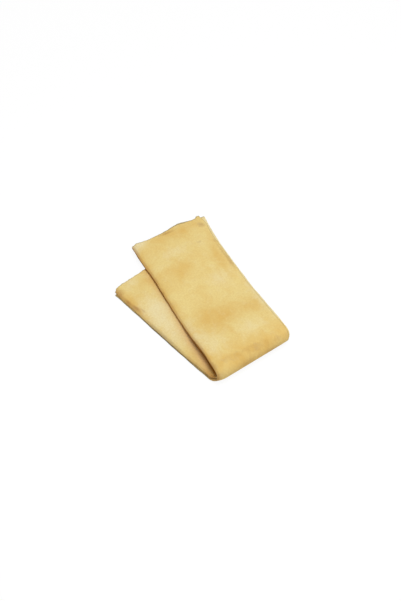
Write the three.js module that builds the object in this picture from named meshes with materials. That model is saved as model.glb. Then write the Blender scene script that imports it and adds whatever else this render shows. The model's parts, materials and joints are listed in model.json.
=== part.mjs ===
// A chamois leather folded for the shelf: one skin pleated lengthwise into a strip of four plies,
// then folded once across, on a slant, into a lower leaf and an upper leaf.
// The frame has +Z up, the underside at z = 0, +Y along the cross fold and +X towards it.
import * as THREE from "three";

// The skin and the strip, in millimetres
const SKIN_THICKNESS = 1.0;
const PLY_GAP = 0.7;
const STRIP_WIDTH = 100;
const LOWER_LENGTH = 175.8;
const UPPER_LENGTH = 208.6;

// The cross fold, in millimetres and degrees
const FOLD_INNER_RADIUS = 5.0;
const FOLD_SKEW_DEGREES = 7.2;

// The stretch beside the fold over which the upper leaf sinks on to the lower one, in millimetres
const SINK_LENGTH = 105;

// Clearances, in millimetres: the upper leaf above the lower one, and every cut between two panels
const SEAT_GAP = 0.4;
const CUT_GAP = 0.3;

// The last stretch of each leaf, where hand folding lets the plies wander
const END_ZONE = 28;

// The skin's uneven ends: the width of a worn corner, and where across the strip an end bulges
// and by how much
const CORNER_WIDTH = 9.0;
const BULGE_ACROSS = 20.0;
const END_BULGE = { lower: 0.5, upper: 3.5 };

// How many flats stand for each round
const FLATS_PER_BAND = 6;
const FLATS_PER_CREASE = 6;
const FLATS_PER_SINK = 6;

// The bands of the cross fold, from the lower leaf to the upper one
const BAND_NAMES = ["fold_lower", "fold_upper"];

const SKIN_COLOUR = "#e3ca86";
const SKIN_ROUGHNESS = 0.95;

// The five lengthwise lines of the skin, from the innermost ply's cut edge to the outermost ply's.
// Left is -Y and right is +Y. "proud" is how far a line stands past half the strip's width at the
// fold and at the middle, the near side of the end zone and the end of each leaf. "tuck" is how far it
// draws in at the crest of the cross fold, "reach" is how far the skin's ends go past the leaf's length
// there, and "worn" is how far their corners fall back.
const LEFT = -1;
const RIGHT = 1;
const LINES = [
  {
    name: "inner_edge",
    side: RIGHT,
    proud: {
      lower: { middle: -2.5, near: -3.0, end: -4.0 },
      fold: -2.0,
      upper: { middle: -3.5, near: -2.5, end: -2.0 },
    },
    tuck: 0.0,
    reach: { lower: -0.5, upper: -3.0 },
    worn: { lower: 2.0, upper: 1.0 },
  },
  {
    name: "left_crease_1_2",
    side: LEFT,
    proud: {
      lower: { middle: 0.7, near: 0.5, end: 0.6 },
      fold: -0.2,
      upper: { middle: -2.8, near: -3.4, end: -4.2 },
    },
    tuck: 1.0,
    reach: { lower: 0.0, upper: -2.5 },
    worn: { lower: 3.5, upper: 0.5 },
  },
  {
    name: "right_crease_2_3",
    side: RIGHT,
    proud: {
      lower: { middle: -0.5, near: -0.3, end: -0.5 },
      fold: 1.0,
      upper: { middle: -0.3, near: 0.3, end: 3.0 },
    },
    tuck: 0.0,
    reach: { lower: -1.0, upper: -1.2 },
    worn: { lower: 2.0, upper: 1.5 },
  },
  {
    name: "left_crease_3_4",
    side: LEFT,
    proud: {
      lower: { middle: 1.3, near: 1.4, end: 1.5 },
      fold: 0.0,
      upper: { middle: -2.4, near: -2.8, end: -3.6 },
    },
    tuck: 2.5,
    reach: { lower: -0.5, upper: -1.5 },
    worn: { lower: 3.5, upper: 0.3 },
  },
  {
    name: "outer_edge",
    side: RIGHT,
    proud: {
      lower: { middle: -1.0, near: -1.5, end: -3.0 },
      fold: 0.8,
      upper: { middle: -0.5, near: 0.0, end: -4.0 },
    },
    tuck: 0.0,
    reach: { lower: -1.0, upper: -0.8 },
    worn: { lower: 2.0, upper: 0.5 },
  },
];

// Sizes that follow from those above
const plyCount = LINES.length - 1;
const plyPitch = SKIN_THICKNESS + PLY_GAP;
const leafThickness = (plyCount - 1) * plyPitch + SKIN_THICKNESS;
const foldOuterRadius = FOLD_INNER_RADIUS + leafThickness;
const foldMiddleRadius = FOLD_INNER_RADIUS + leafThickness / 2;
const creaseOuterRadius = (plyPitch + SKIN_THICKNESS) / 2;
const creaseInnerRadius = PLY_GAP / 2;
const halfWidth = STRIP_WIDTH / 2;
const skew = THREE.MathUtils.degToRad(FOLD_SKEW_DEGREES);

// The chord of the upper leaf is the tangent from the fold's inside to the lower leaf's far right corner.
const seatLine = LINES[0];
const seatAcross = halfWidth + seatLine.proud.lower.end;
const seatStrip = LOWER_LENGTH + seatLine.reach.lower;
const seatDistance = seatStrip * Math.cos(skew) + seatAcross * Math.sin(skew);
const seatDrop = FOLD_INNER_RADIUS - SEAT_GAP;
const seatReach = Math.hypot(seatDistance, seatDrop);
const upperSlope = Math.atan2(seatDrop, seatDistance) + Math.asin(FOLD_INNER_RADIUS / seatReach);
const foldTurn = Math.PI + upperSlope;
const foldLength = foldMiddleRadius * foldTurn;
const hingeCount = BAND_NAMES.length + 1;
const hingePitch = foldLength / hingeCount;

// A place on the skin. "along" is measured square to the cross fold, from its start, with the fold
// rolled flat; "across" is measured across the strip; "depth" goes from the inner face outwards.
function place(along, across, depth) {
  const rolled = THREE.MathUtils.clamp(along, 0, foldLength);
  const turn = rolled / foldMiddleRadius;
  const straight = along - rolled;
  const radius = FOLD_INNER_RADIUS + depth - sinkAt(along - foldLength);
  return new THREE.Vector3(
    radius * Math.sin(turn) + straight * Math.cos(turn),
    along * Math.tan(skew) + across / Math.cos(skew),
    foldOuterRadius - radius * Math.cos(turn) + straight * Math.sin(turn),
  );
}

// How far the upper leaf lies below its chord, at a distance past the fold: it eases down until it
// lies along the lower leaf, and hangs over the lower leaf's end along the chord again.
function sinkAt(pastFold) {
  if (pastFold <= 0 || pastFold >= seatDistance) {
    return 0;
  }
  const eased = THREE.MathUtils.smoothstep(pastFold, 0, SINK_LENGTH);
  return (2 * FOLD_INNER_RADIUS - SEAT_GAP) * (eased - pastFold / seatDistance);
}

// The places along the strip where a solid has a cross-section
const leafLength = { lower: LOWER_LENGTH, upper: UPPER_LENGTH };
const leafStation = (leaf, fromFold) => ({ leaf, fromFold, isEnd: fromFold === leafLength[leaf] });
const lowerStations = [LOWER_LENGTH, LOWER_LENGTH - END_ZONE, LOWER_LENGTH / 2].map((fromFold) =>
  leafStation("lower", fromFold),
);
const sinkStations = Array.from({ length: FLATS_PER_SINK }, (_, flat) =>
  leafStation("upper", (SINK_LENGTH * (flat + 1)) / FLATS_PER_SINK),
);

// An upper leaf that goes past the lower one bends where it lies on the lower leaf's end, along a row
// that runs with the fold. A shorter one has a row at the start of its end zone instead.
const shortSide = UPPER_LENGTH * Math.cos(skew) - halfWidth * Math.sin(skew);
const seatStation = { ...leafStation("upper", seatDistance / Math.cos(skew)), runsWithFold: true };
const goesPastSeat = shortSide > seatDistance + CORNER_WIDTH;
const upperStations = [
  ...sinkStations,
  goesPastSeat ? seatStation : leafStation("upper", UPPER_LENGTH - END_ZONE),
  leafStation("upper", UPPER_LENGTH),
];

function foldStations(from, to, flats) {
  const count = Math.max(1, Math.round(flats));
  const stations = [];
  for (let i = 0; i <= count; i += 1) {
    const along = from + ((to - from) * i) / count;
    stations.push({ leaf: "fold", along });
  }
  return stations;
}

// How much of an end's own shape a station has: all of it in the end zone, and less towards the fold
function endShare(station) {
  return Math.min(1, station.fromFold / (leafLength[station.leaf] - END_ZONE));
}

// How far along the rolled-flat strip a place across it lies, at a station, for skin whose end goes
// "reach" past the leaf's length
function alongAt(station, across, reach) {
  if (station.leaf === "fold") {
    return station.along;
  }
  if (station.runsWithFold) {
    return foldLength + station.fromFold * Math.cos(skew);
  }
  const slant = across * Math.sin(skew);
  const square = (station.fromFold + reach * endShare(station)) * Math.cos(skew);
  return station.leaf === "lower" ? -square - slant : foldLength + square - slant;
}

// The skin's end at a line: worn back at the very end, and running straight before it
function cornerReach(station, line) {
  if (station.leaf === "fold") {
    return 0;
  }
  return line.reach[station.leaf] - (station.isEnd ? line.worn[station.leaf] : 0);
}

// How far a line stands past half the strip's width, in straight runs between the places it is given
function proudAt(station, line) {
  const { fold } = line.proud;
  if (station.leaf === "fold") {
    return fold - line.tuck * crest(station.along);
  }
  const { middle, near, end } = line.proud[station.leaf];
  const length = leafLength[station.leaf];
  const places = [0, length / 2, length - END_ZONE, length];
  const values = [fold, middle, near, end];
  const next = Math.max(1, places.findIndex((place) => station.fromFold <= place));
  const share = (station.fromFold - places[next - 1]) / (places[next] - places[next - 1]);
  return THREE.MathUtils.lerp(values[next - 1], values[next], share);
}

function lineAcross(station, line, inset) {
  return line.side * (halfWidth + proudAt(station, line) - inset);
}

// How near a place in the cross fold is to its crest: 0 at both ends of the fold and 1 in the middle
function crest(along) {
  return Math.sin((Math.PI * along) / foldLength);
}

// Cross-sections, each a closed ring of points that runs the same way round

function plySection(ply, station) {
  const near = depthOf(ply);
  const far = near + SKIN_THICKNESS;
  const lines = [LINES[ply], LINES[ply + 1]];
  const [first, second] = lines.map((line) => {
    const isCutEdge = line === LINES[0] || line === LINES[plyCount];
    const inset = isCutEdge ? 0 : creaseOuterRadius + CUT_GAP;
    const across = lineAcross(station, line, inset);
    const shoulder = lineAcross(station, line, inset + CORNER_WIDTH);
    const reach = station.leaf === "fold" ? 0 : line.reach[station.leaf];
    return {
      corner: { across, along: alongAt(station, across, cornerReach(station, line)) },
      shoulder: { across: shoulder, along: alongAt(station, shoulder, reach) },
      reach,
    };
  });
  const out = station.isEnd ? END_BULGE[station.leaf] : 0;
  const bulge = {
    across: BULGE_ACROSS,
    along: alongAt(station, BULGE_ACROSS, (first.reach + second.reach) / 2 + out),
  };
  const row = [first.corner, first.shoulder, bulge, second.shoulder, second.corner];
  return [
    ...row.map((point) => ({ ...point, depth: near })),
    ...row.reverse().map((point) => ({ ...point, depth: far })),
  ];
}

function creaseSection(crease, station) {
  const line = LINES[crease];
  const middleDepth = depthOf(crease) - PLY_GAP / 2;
  const flats = Math.max(2, Math.round(FLATS_PER_CREASE));
  const arc = (radius, from, to) => {
    const points = [];
    for (let i = 0; i <= flats; i += 1) {
      const angle = from + ((to - from) * i) / flats;
      const inset = creaseOuterRadius - radius * Math.cos(angle);
      const across = lineAcross(station, line, inset);
      const depth = middleDepth + radius * Math.sin(angle);
      points.push({ across, depth, along: alongAt(station, across, cornerReach(station, line)) });
    }
    return points;
  };
  const quarter = Math.PI / 2;
  return [
    ...arc(creaseOuterRadius, -quarter, quarter),
    ...arc(creaseInnerRadius, quarter, -quarter),
  ];
}

function depthOf(ply) {
  return ply * plyPitch;
}

// A closed solid through a row of cross-sections, with a flat cap at each end
function sweep(sections) {
  const count = sections[0].length;
  const positions = [];
  for (const section of sections) {
    for (const point of section) {
      positions.push(...place(point.along, point.across, point.depth).toArray());
    }
  }
  const triangles = [];
  for (let row = 0; row + 1 < sections.length; row += 1) {
    for (let i = 0; i < count; i += 1) {
      const next = (i + 1) % count;
      const a = row * count + i;
      const b = row * count + next;
      const c = (row + 1) * count + next;
      const d = (row + 1) * count + i;
      triangles.push([a, b, c], [a, c, d]);
    }
  }
  const outline = sections[0].map((point) => new THREE.Vector2(point.across, point.depth));
  const cap = THREE.ShapeUtils.triangulateShape(outline, []);
  const turnsLeft = THREE.ShapeUtils.area(outline) > 0;
  const last = (sections.length - 1) * count;
  for (const [a, b, c] of cap) {
    const [second, third] = turnsLeft ? [c, b] : [b, c];
    triangles.push([a, second, third], [last + a, last + third, last + second]);
  }
  return closedGeometry(positions, triangles);
}

// Turns every triangle round if the solid came out facing inwards.
function closedGeometry(positions, triangles) {
  const at = (i) => new THREE.Vector3(...positions.slice(3 * i, 3 * i + 3));
  let volume = 0;
  for (const [a, b, c] of triangles) {
    volume += at(a).dot(at(b).cross(at(c)));
  }
  const order = volume < 0 ? ([a, b, c]) => [a, c, b] : (triangle) => triangle;
  const geometry = new THREE.BufferGeometry();
  geometry.setAttribute("position", new THREE.Float32BufferAttribute(positions, 3));
  geometry.setIndex(triangles.flatMap(order));
  const faceted = geometry.toNonIndexed();
  faceted.computeVertexNormals();
  return faceted;
}

// The bodies that turn on one another, and the stretch of strip that each one is
const halfFlats = FLATS_PER_BAND / 2;
const hingeAlong = (hinge) => (hinge + 0.5) * hingePitch;
const bodies = [
  {
    name: "lower",
    stations: [
      ...lowerStations,
      ...foldStations(0, hingeAlong(0) - CUT_GAP / 2, halfFlats),
    ],
  },
  ...BAND_NAMES.map((name, band) => ({
    name,
    stations: foldStations(
      hingeAlong(band) + CUT_GAP / 2,
      hingeAlong(band + 1) - CUT_GAP / 2,
      FLATS_PER_BAND,
    ),
  })),
  {
    name: "upper",
    stations: [
      ...foldStations(hingeAlong(hingeCount - 1) + CUT_GAP / 2, foldLength, halfFlats),
      ...upperStations,
    ],
  },
];

const folded = new THREE.Group();
const skin = new THREE.MeshStandardMaterial({
  color: SKIN_COLOUR,
  roughness: SKIN_ROUGHNESS,
  metalness: 0,
});

function addPanel(group, name, sections) {
  const panel = new THREE.Mesh(sweep(sections), skin);
  panel.name = name;
  group.add(panel);
}

for (const body of bodies) {
  const group = new THREE.Group();
  group.name = `${body.name}_body`;
  folded.add(group);
  for (let ply = 0; ply < plyCount; ply += 1) {
    const sections = body.stations.map((station) => plySection(ply, station));
    addPanel(group, `${body.name}_ply_${ply + 1}`, sections);
  }
  for (let crease = 1; crease < plyCount; crease += 1) {
    const sections = body.stations.map((station) => creaseSection(crease, station));
    addPanel(group, `${body.name}_${LINES[crease].name}`, sections);
  }
}

// The origin goes to the middle of the bounding box's underside.
const box = new THREE.Box3().setFromObject(folded);
const boxMiddle = box.getCenter(new THREE.Vector3());
folded.position.set(-boxMiddle.x, -boxMiddle.y, -box.min.z);

// A point on each hinge line, which runs along +Y on the outer face of the fold
export const hingePoints = Array.from({ length: hingeCount }, (_, hinge) =>
  place(hingeAlong(hinge), 0, leafThickness).add(folded.position),
);
export const hingeTurn = foldTurn / hingeCount;

const part = new THREE.Group();
part.name = "chamois_leather";
part.add(folded);

export default part;
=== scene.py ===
# %% [markdown]
# A chamois leather, folded for storage. It is a single skin of soft oil-tanned leather, pleated
# lengthwise into a strip four plies thick and then folded once across, on a slant, so that a long upper
# leaf lies over a shorter lower one. Nothing is sewn to it, so all of its looks come from one surface
# and one material. A folded skin could be simulated as cloth, but then its folds would fall where the
# solver puts them. Here the skin is worked out as a surface of two parameters, one across the pleats
# and one along the strip, so each crease, cut edge and bulge can be put where the real one has it.

# %% The frame that all the tools share
import json

import bpy
import numpy as np
from mathutils import Matrix


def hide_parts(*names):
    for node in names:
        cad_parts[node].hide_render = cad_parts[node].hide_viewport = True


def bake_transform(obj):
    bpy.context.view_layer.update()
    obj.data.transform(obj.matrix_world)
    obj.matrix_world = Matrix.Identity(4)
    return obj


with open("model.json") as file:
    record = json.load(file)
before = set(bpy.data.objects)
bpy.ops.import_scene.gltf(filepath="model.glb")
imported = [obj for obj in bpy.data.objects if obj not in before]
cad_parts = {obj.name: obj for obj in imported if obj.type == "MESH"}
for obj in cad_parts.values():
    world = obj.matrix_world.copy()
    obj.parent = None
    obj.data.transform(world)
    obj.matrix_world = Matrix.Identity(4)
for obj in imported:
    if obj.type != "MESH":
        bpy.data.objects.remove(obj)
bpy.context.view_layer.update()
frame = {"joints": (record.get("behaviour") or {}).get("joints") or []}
MILLIMETRE = 0.001

# %% [markdown]
# The cross fold is where the four plies turn over together. The solid model bends there on three
# hinges, which lie on the outer face of the fold, so the circle through them gives the outer radius and
# the middle of the bend, and the drift of the hinges along the fold gives its slant. These could be
# typed in as numbers, but reading them from the frame keeps the soft surface and its hinges together.
# From here on, lengths are in millimetres until they go into a mesh.


# %% The bend, read from the three hinges
def circle_through(first, second, third):
    """Circle through three points of a plane: its middle is where the bisectors of two chords cross."""
    chords = np.array([second - first, third - second])
    halfway = np.array([first + second, second + third]) / 2
    middle = np.linalg.solve(chords, (chords * halfway).sum(axis=1))
    return middle, np.linalg.norm(first - middle)


SKIN_THICKNESS = 1.0
PLY_GAP = 0.7
PLY_COUNT = 4
LEAF_THICKNESS = PLY_COUNT * SKIN_THICKNESS + (PLY_COUNT - 1) * PLY_GAP

hinges = np.array([joint["pos_m"] for joint in frame["joints"]]) / MILLIMETRE
# Each hinge opens until its own share of the bend lies flat, so its limit is the turn of that share.
hinge_turn = np.radians(frame["joints"][0]["range_deg"][1])
bend_middle, bend_outer = circle_through(*hinges[:, [0, 2]])
bend_inner = bend_outer - LEAF_THICKNESS
bend_mean = bend_outer - LEAF_THICKNESS / 2
bend_turn = len(hinges) * hinge_turn
bend_length = bend_mean * bend_turn
hinge_pitch = bend_length / len(hinges)
slant = np.arctan2(hinges[1, 1] - hinges[0, 1], hinge_pitch)
bend_start_y = hinges[0, 1] - hinge_pitch / 2 * np.tan(slant)
print(f"bend: outer radius {bend_outer:.2f} mm, turn {np.degrees(bend_turn):.1f} degrees")
print(f"bend: length {bend_length:.2f} mm, slant {np.degrees(slant):.2f} degrees")

# %% [markdown]
# The side lines of the strip are not straight, because the pleats were laid by hand. There are five:
# lines 1 and 3 are creases on the left, line 2 is a crease on the right, and lines 0 and 4, both on the
# right, are the skin's own cut edges. Straight lines would look machined and random ones would not fit
# the real leather, so each line is a smooth curve through a few stands, which say how far it stands
# proud of the strip's half width.


# %% A smooth curve and a smooth step
def curve_through(places, heights, wanted):
    """Cubic between neighbouring points, with each point's slope taken from its two neighbours."""
    places = np.asarray(places, float)
    heights = np.asarray(heights, float)
    slopes = np.gradient(heights, places)
    wanted = np.clip(wanted, places[0], places[-1])
    left = np.clip(np.searchsorted(places, wanted) - 1, 0, len(places) - 2)
    width = places[left + 1] - places[left]
    t = (wanted - places[left]) / width
    rise = heights[left] * (1 + 2 * t) * (1 - t) ** 2 + heights[left + 1] * t * t * (3 - 2 * t)
    lean = slopes[left] * t * (1 - t) ** 2 - slopes[left + 1] * t * t * (1 - t)
    return rise + lean * width


def ease(value, start, end):
    """Smooth step from 0 to 1: three squares of the share of the way from start to end, less two cubes."""
    t = np.clip((value - start) / (end - start), 0, 1)
    return t * t * (3 - 2 * t)


print("a quarter of the way up a smooth step:", ease(0.25, 0, 1))

# %% The stands of the side lines
HALF_WIDTH = 50.0
LOWER_LENGTH = 175.8
UPPER_LENGTH = 208.6
END_ZONE = 28.0
LEFT = -1
RIGHT = 1
LINE_SIDES = np.array([RIGHT, LEFT, RIGHT, LEFT, RIGHT])
IS_CREASE = np.array([0, 1, 1, 1, 0])
LINE_PLACES = [
    -LOWER_LENGTH,
    END_ZONE - LOWER_LENGTH,
    -LOWER_LENGTH / 2,
    0,
    UPPER_LENGTH * 0.15,
    UPPER_LENGTH * 0.29,
    UPPER_LENGTH / 2,
    UPPER_LENGTH * 0.72,
    UPPER_LENGTH - END_ZONE,
    UPPER_LENGTH - END_ZONE / 2,
    UPPER_LENGTH,
]
INNER_EDGE = [-4.0, -3.0, -2.5, -2.0, -2.4, -2.8, -3.5, -3.0, -2.5, -2.2, -2.0]
LEFT_CREASE_1_2 = [0.2, 0.2, 0.4, -0.8, -1.5, -1.9, -2.4, -3.2, -1.9, -2.1, -2.1]
RIGHT_CREASE_2_3 = [-0.5, -0.3, -0.5, 3.3, 2.1, 2.2, 1.8, 1.3, 2.4, 3.8, 5.2]
LEFT_CREASE_3_4 = [1.3, 1.0, 0.9, -0.4, -1.5, -1.9, -2.4, -3.2, -1.9, -2.1, -2.1]
OUTER_EDGE = [-3.0, -1.5, -1.0, 0.6, -0.8, -0.2, -0.6, -0.9, -0.7, 0.8, -1.6]
LINE_STANDS = [INNER_EDGE, LEFT_CREASE_1_2, RIGHT_CREASE_2_3, LEFT_CREASE_3_4, OUTER_EDGE]
print(len(LINE_STANDS), "side lines, each through", len(LINE_PLACES), "stands")

# %% The side lines, tucked in at the fold
# A tuck is how far a left crease draws in where the plies turn over.
LINE_TUCKS = [0.0, 3.0, 0.0, 1.6, 0.0]
TUCK_START = -3.0
TUCK_FULL = 6.0
TUCK_END = 50.0
WOBBLE = 0.12
LONG_WOBBLE = 6.1
SHORT_WOBBLE = 2.7
SHORT_SHARE = 0.7
PLY_PITCH = SKIN_THICKNESS + PLY_GAP
CREASE_RADIUS = PLY_PITCH / 2
CREASE_OUTER = CREASE_RADIUS + SKIN_THICKNESS / 2


def side_lines(along, run):
    """Across place of each side line: half width plus stand, less its tuck at the fold, plus a wobble."""
    tucked = ease(along, TUCK_START, TUCK_FULL) * (1 - ease(run, 0, TUCK_END))
    lines = []
    for number, stands in enumerate(LINE_STANDS):
        stand = curve_through(LINE_PLACES, stands, run)
        long_wave = np.sin(run / LONG_WOBBLE + 2 * number)
        short_wave = np.sin(run / SHORT_WOBBLE + number)
        wobble = WOBBLE * (long_wave + SHORT_SHARE * short_wave)
        outer_reach = HALF_WIDTH + stand - LINE_TUCKS[number] * tucked + wobble
        lines.append(LINE_SIDES[number] * (outer_reach - CREASE_OUTER * IS_CREASE[number]))
    return np.array(lines)


fold_lines = side_lines(np.array([bend_length / 2]), np.array([0.0]))[:, 0]
print("strip", 2 * HALF_WIDTH, "mm wide, lines at the fold:", np.round(fold_lines, 1))

# %% [markdown]
# Cut across, the strip is a zigzag: ply 1 runs from its cut edge on the right to a crease on the left,
# ply 2 runs back, and so on. This section could be swept along the strip, but the plies change width as
# they go, so each column of the grid instead remembers which two side lines it lies between, and how
# far. The columns crowd together at the creases, which are half circles, and at the cut edges, which
# are rounded. Depth is counted outwards, from the face that lies inside the cross fold.

# %% How columns are added
EDGE_ROUND = 0.5
EDGE_STEPS = EDGE_ROUND * (1 - np.cos(np.radians([0, 30, 60])))


def crowded(count, crowding):
    """Shares from 0 to 1 that lie closer together at both ends: x less a sine wave of one turn."""
    x = np.linspace(0, 1, count + 1)
    return x - crowding * np.sin(2 * np.pi * x) / (2 * np.pi)


before, after, share, offset, depth, station = [], [], [], [], [], []


def add_columns(first, last, shares, offsets, depths, stations):
    """Columns between two side lines, each with its share of the way, offset, depth and skin place."""
    count = len(depths)
    before.append(np.full(count, first))
    after.append(np.full(count, last))
    share.append(np.broadcast_to(shares, count))
    offset.append(np.broadcast_to(offsets, count))
    depth.append(depths)
    station.append(np.broadcast_to(stations, count))


print("a cut edge is rounded in steps at", np.round(EDGE_STEPS, 3), "mm")

# %% The columns of the zigzag section
PLY_STEPS = 56
PLY_CROWDING = 0.7
CREASE_STEPS = 10

ply_depths = SKIN_THICKNESS / 2 + PLY_PITCH * np.arange(PLY_COUNT)
half_circle = np.linspace(0, np.pi, CREASE_STEPS + 1)[1:-1]
ply_shares = crowded(PLY_STEPS, PLY_CROWDING)
first_depths = np.full(len(EDGE_STEPS), ply_depths[0])
add_columns(0, 0, 0, -RIGHT * EDGE_STEPS, first_depths, EDGE_STEPS / (2 * HALF_WIDTH))
for ply in range(PLY_COUNT):
    inset_start = EDGE_ROUND if ply == 0 else 0
    inset_end = EDGE_ROUND if ply == PLY_COUNT - 1 else 0
    insets = -RIGHT * (inset_start * (1 - ply_shares) + inset_end * ply_shares)
    level = np.full(PLY_STEPS + 1, ply_depths[ply])
    add_columns(ply, ply + 1, ply_shares, insets, level, ply + ply_shares)
    if ply < PLY_COUNT - 1:
        crease = ply + 1
        bulge = LINE_SIDES[crease] * CREASE_RADIUS * np.sin(half_circle)
        turn_depths = ply_depths[ply] + CREASE_RADIUS * (1 - np.cos(half_circle))
        add_columns(crease, crease, 0, bulge, turn_depths, crease)
last_edge = EDGE_STEPS[::-1]
last_depths = np.full(len(EDGE_STEPS), ply_depths[-1])
last_stations = PLY_COUNT - last_edge / (2 * HALF_WIDTH)
add_columns(PLY_COUNT, PLY_COUNT, 0, -RIGHT * last_edge, last_depths, last_stations)
print(sum(len(depths) for depths in depth), "columns")

# %% The section measured along the skin
before, after = np.concatenate(before), np.concatenate(after)
share, offset = np.concatenate(share), np.concatenate(offset)
depth, station = np.concatenate(depth), np.concatenate(station)
flat_before = LINE_SIDES[before] * HALF_WIDTH * (1 - share)
flat_section = flat_before + LINE_SIDES[after] * HALF_WIDTH * share + offset
section_steps = np.hypot(np.diff(flat_section), np.diff(depth))
skin_across = np.concatenate([[0], np.cumsum(section_steps)])
print("skin", round(skin_across[-1], 1), "mm wide when opened")

# %% [markdown]
# Along the strip, rows stand square to the strip on the leaves, because the skin was cut square, but
# run with the slanted fold in the bend. Between the two they turn gradually. Near each end the rows bow
# out to the shape of the cut, which was made by hand: the far end bulges, and ply 3 shows a little
# beyond ply 4. The ends could be cut with a boolean, but rows that follow the cut keep the grid whole.

# %% The rows along the strip
LOWER_STEPS = 64
UPPER_STEPS = 76
LEAF_CROWDING = 0.55
BEND_STEPS = 12
SQUARE_FROM = 2.0
SQUARE_BY = 95.0
FOLD_STRETCH = 10.2


def leaf_rows(length, steps):
    """Distances from the cut end to the fold: close in the rounded edge, then crowded at both ends."""
    inner_rows = EDGE_ROUND + (length - EDGE_ROUND) * crowded(steps, LEAF_CROWDING)
    return np.concatenate([EDGE_STEPS, inner_rows])


lower_rows = (leaf_rows(LOWER_LENGTH, LOWER_STEPS) - LOWER_LENGTH) * np.cos(slant)
upper_rows = bend_length + (UPPER_LENGTH - leaf_rows(UPPER_LENGTH, UPPER_STEPS)[::-1]) * np.cos(slant)
half_stretch = FOLD_STRETCH * np.cos(slant) / 2
bend_marks = [0, bend_length / 2 - half_stretch, bend_length / 2 + half_stretch, bend_length]
mark_rows = BEND_STEPS * np.arange(len(bend_marks))
bend_rows = np.interp(np.arange(1, mark_rows[-1]), mark_rows, bend_marks)
row_along = np.concatenate([lower_rows, bend_rows, upper_rows])
row_run = (row_along - np.clip(row_along, 0, bend_length)) / np.cos(slant)
row_square = ease(np.abs(row_run), SQUARE_FROM, SQUARE_BY)
first_cut = len(lower_rows) - 1 + BEND_STEPS
last_cut = first_cut + BEND_STEPS
print(len(row_along), "rows, cuts between the stretches at rows", first_cut, "and", last_cut)

# %% The cut ends
# Places are counted in plies across the opened skin, reaches in millimetres past a straight cut.
LOWER_END_PLACES = [0, 0.08, 0.5, 0.75, 0.9, 0.96, 0.98, 1, 1.02, 1.05, 1.1, 1.5, 1.92]
LOWER_END_REACH = [-2.6, -0.6, 0.0, 0.5, 1.2, 0.2, -0.8, -2.2, -1.4, -0.6, 0.2, 0.2, -1.0]
LOWER_END_PLACES += [2, 2.08, 2.5, 2.9, 2.96, 2.98, 3, 3.02, 3.05, 3.1, 3.5, 3.92, 4]
LOWER_END_REACH += [-2.4, -0.8, 0.5, 0.0, -1.2, -2.2, -4.0, -2.2, -1.2, -0.2, 0.4, -1.0, -2.6]
UPPER_END_PLACES = [0, 0.1, 0.5, 0.9, 1, 1.1, 1.5, 1.72, 1.9, 2, 2.1, 2.19, 2.23, 2.29, 2.34]
UPPER_END_REACH = [-4.2, -3.2, -2.4, -3.0, -3.4, -3.0, -1.6, 0.4, 0.0, -0.6, 0.2, 0.6, 1.8, 3.2, 3.4]
UPPER_END_PLACES += [2.44, 2.58, 2.75, 2.9, 2.97, 3, 3.03, 3.06, 3.12, 3.25, 3.42, 3.55]
UPPER_END_REACH += [2.0, -0.9, -2.4, -3.4, -3.3, -3.5, -3.1, -3.0, -3.6, -3.9, -2.4, -0.8]
UPPER_END_PLACES += [3.68, 3.76, 3.85, 3.94, 3.97, 4]
UPPER_END_REACH += [1.4, 0.2, -0.4, 0.0, 2.2, 1.6]
BOW_DEPTH = 30.0
RAGGED = 0.18
RAGGED_LENGTHS = [0.9, 1.7, 3.9]
RAGGED_APART = 50.0


def ragged(skin_place):
    """Small unevenness of a cut edge: three sine waves whose lengths do not fit each other."""
    edge_waves = [np.sin(skin_place / length + phase) for phase, length in enumerate(RAGGED_LENGTHS)]
    return RAGGED * sum(edge_waves)


lower_reach = curve_through(LOWER_END_PLACES, LOWER_END_REACH, station) + ragged(skin_across)
upper_reach = curve_through(UPPER_END_PLACES, UPPER_END_REACH, station)
upper_reach += ragged(skin_across + RAGGED_APART)
lower_bow = np.clip(1 - (LOWER_LENGTH + row_run) / BOW_DEPTH, 0, 1) ** 2
upper_bow = np.clip(1 - (UPPER_LENGTH - row_run) / BOW_DEPTH, 0, 1) ** 2
print("far end reaches from", round(upper_reach.min(), 1), "to", round(upper_reach.max(), 1), "mm")

# %% The skin laid out on the strip
lines = side_lines(row_along, row_run)
across = lines[before].T * (1 - share) + lines[after].T * share + offset
along = row_along[:, None] - row_square[:, None] * across * np.sin(slant)
along += np.cos(slant) * (upper_bow[:, None] * upper_reach - lower_bow[:, None] * lower_reach)
strip_place = along / np.cos(slant) + across * np.tan(slant)
print("strip runs from", round(strip_place.min(), 1), "to", round(strip_place.max(), 1), "mm")

# %% [markdown]
# Soft leather does not lie in flat plates. The leaf is fuller in its middle and thinner at its creases,
# where hands have pressed it, and its faces undulate. Each ply could be bulged by itself, but then they
# would cross. A fullness that multiplies the depth of every ply does it to all of them at once. It
# works away from the side that each leaf rests on: the lower leaf on the floor, the upper leaf on the
# lower one.

# %% Hills and dips
HILL_SHARE = 0.6
HILL_ALONG = 9.5
HILL_ACROSS = 11.0
HILL_DRIFT = 31.0
HILL_PHASE = 0.6
SWAY = 0.8
SWAY_ACROSS = 13.0
SWELL_ALONG = 15.0
SWELL_ACROSS = 17.0
SWELL_PHASE = 1.3


def undulation(skin_place, run):
    """Slow hills and dips: a product and a sum of sine waves about 60 to 110 mm long, from -1 to 1."""
    sway = SWAY * np.sin(skin_place / SWAY_ACROSS)
    ranges = np.sin(run / HILL_ALONG + sway)
    hills = ranges * np.sin(skin_place / HILL_ACROSS + run / HILL_DRIFT + HILL_PHASE)
    swells = np.sin(run / SWELL_ALONG - skin_place / SWELL_ACROSS + SWELL_PHASE)
    return HILL_SHARE * hills + (1 - HILL_SHARE) * swells


waves = undulation(across, strip_place)
print("hills and dips from", round(waves.min(), 2), "to", round(waves.max(), 2))

# %% The side that each leaf rests on
SIDE_CHANGES = 5.0
SIDE_CHANGED = 70.0

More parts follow.
